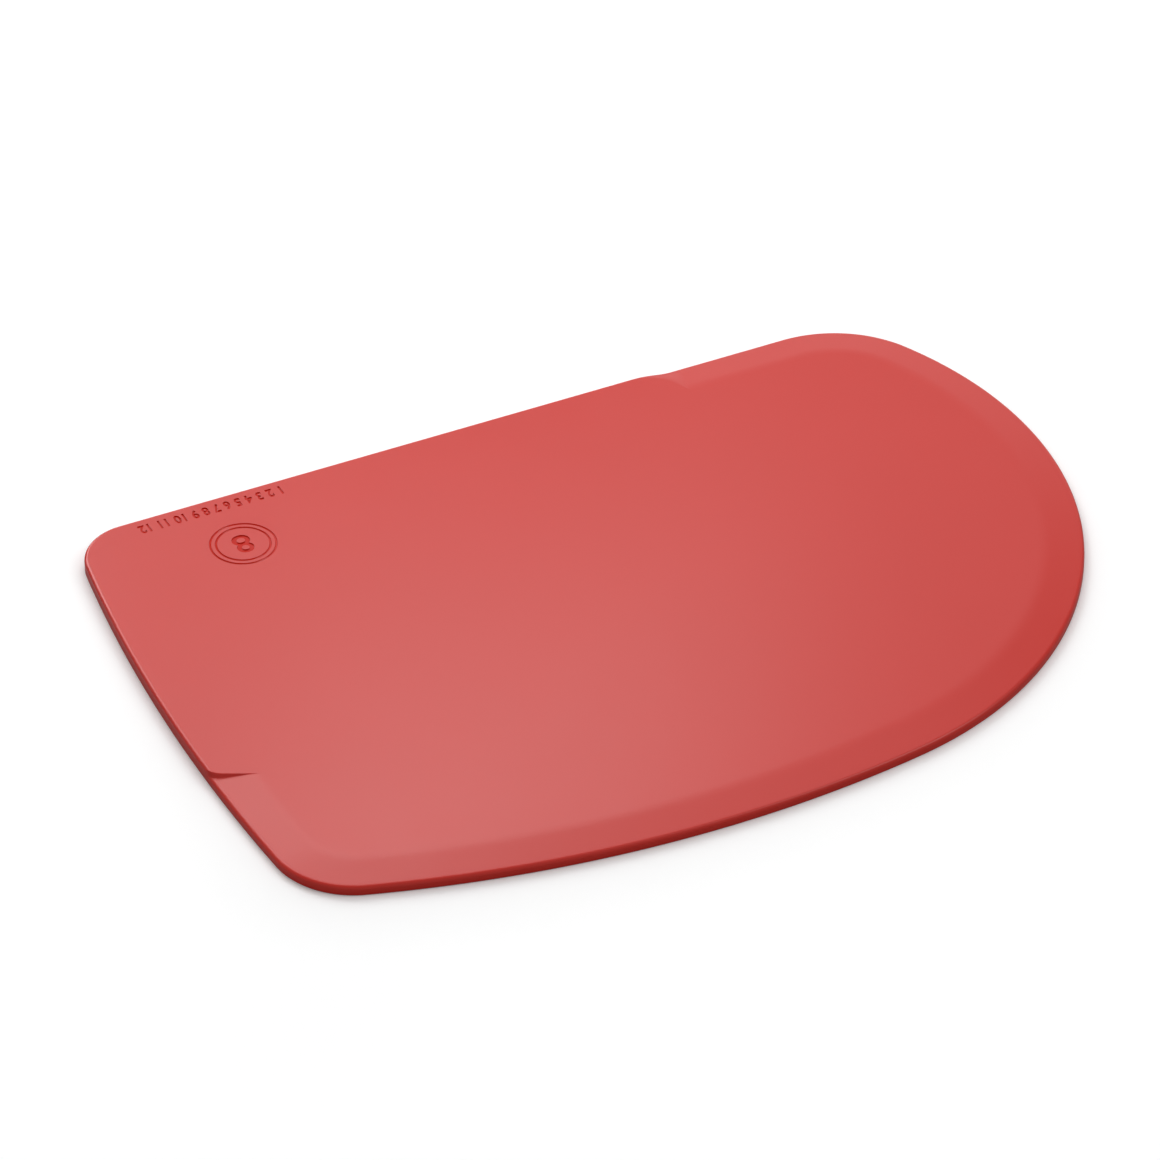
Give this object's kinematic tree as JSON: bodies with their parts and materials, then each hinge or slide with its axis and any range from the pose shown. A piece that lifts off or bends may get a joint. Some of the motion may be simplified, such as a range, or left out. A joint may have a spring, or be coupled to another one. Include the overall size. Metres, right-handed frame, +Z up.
{
  "type": "dough scraper",
  "caption": "Flat plastic dough scraper shaped like a lopsided D, with a straight back, a round nose, a long curved belly and a rim that thins to a scraping edge.",
  "frame": {"origin": "middle of the bounding box, on the flat underside", "axes": "+X from the short edge to the round nose, +Y from the belly to the straight long edge, +Z up out of the bevelled face"},
  "size_m": [0.148, 0.102, 0.0023],
  "materials": {
    "red_plastic": "satin, smooth moulded"
  },
  "bodies": {
    "root": {"scraper_body": "red_plastic"}
  },
  "joints": []
}
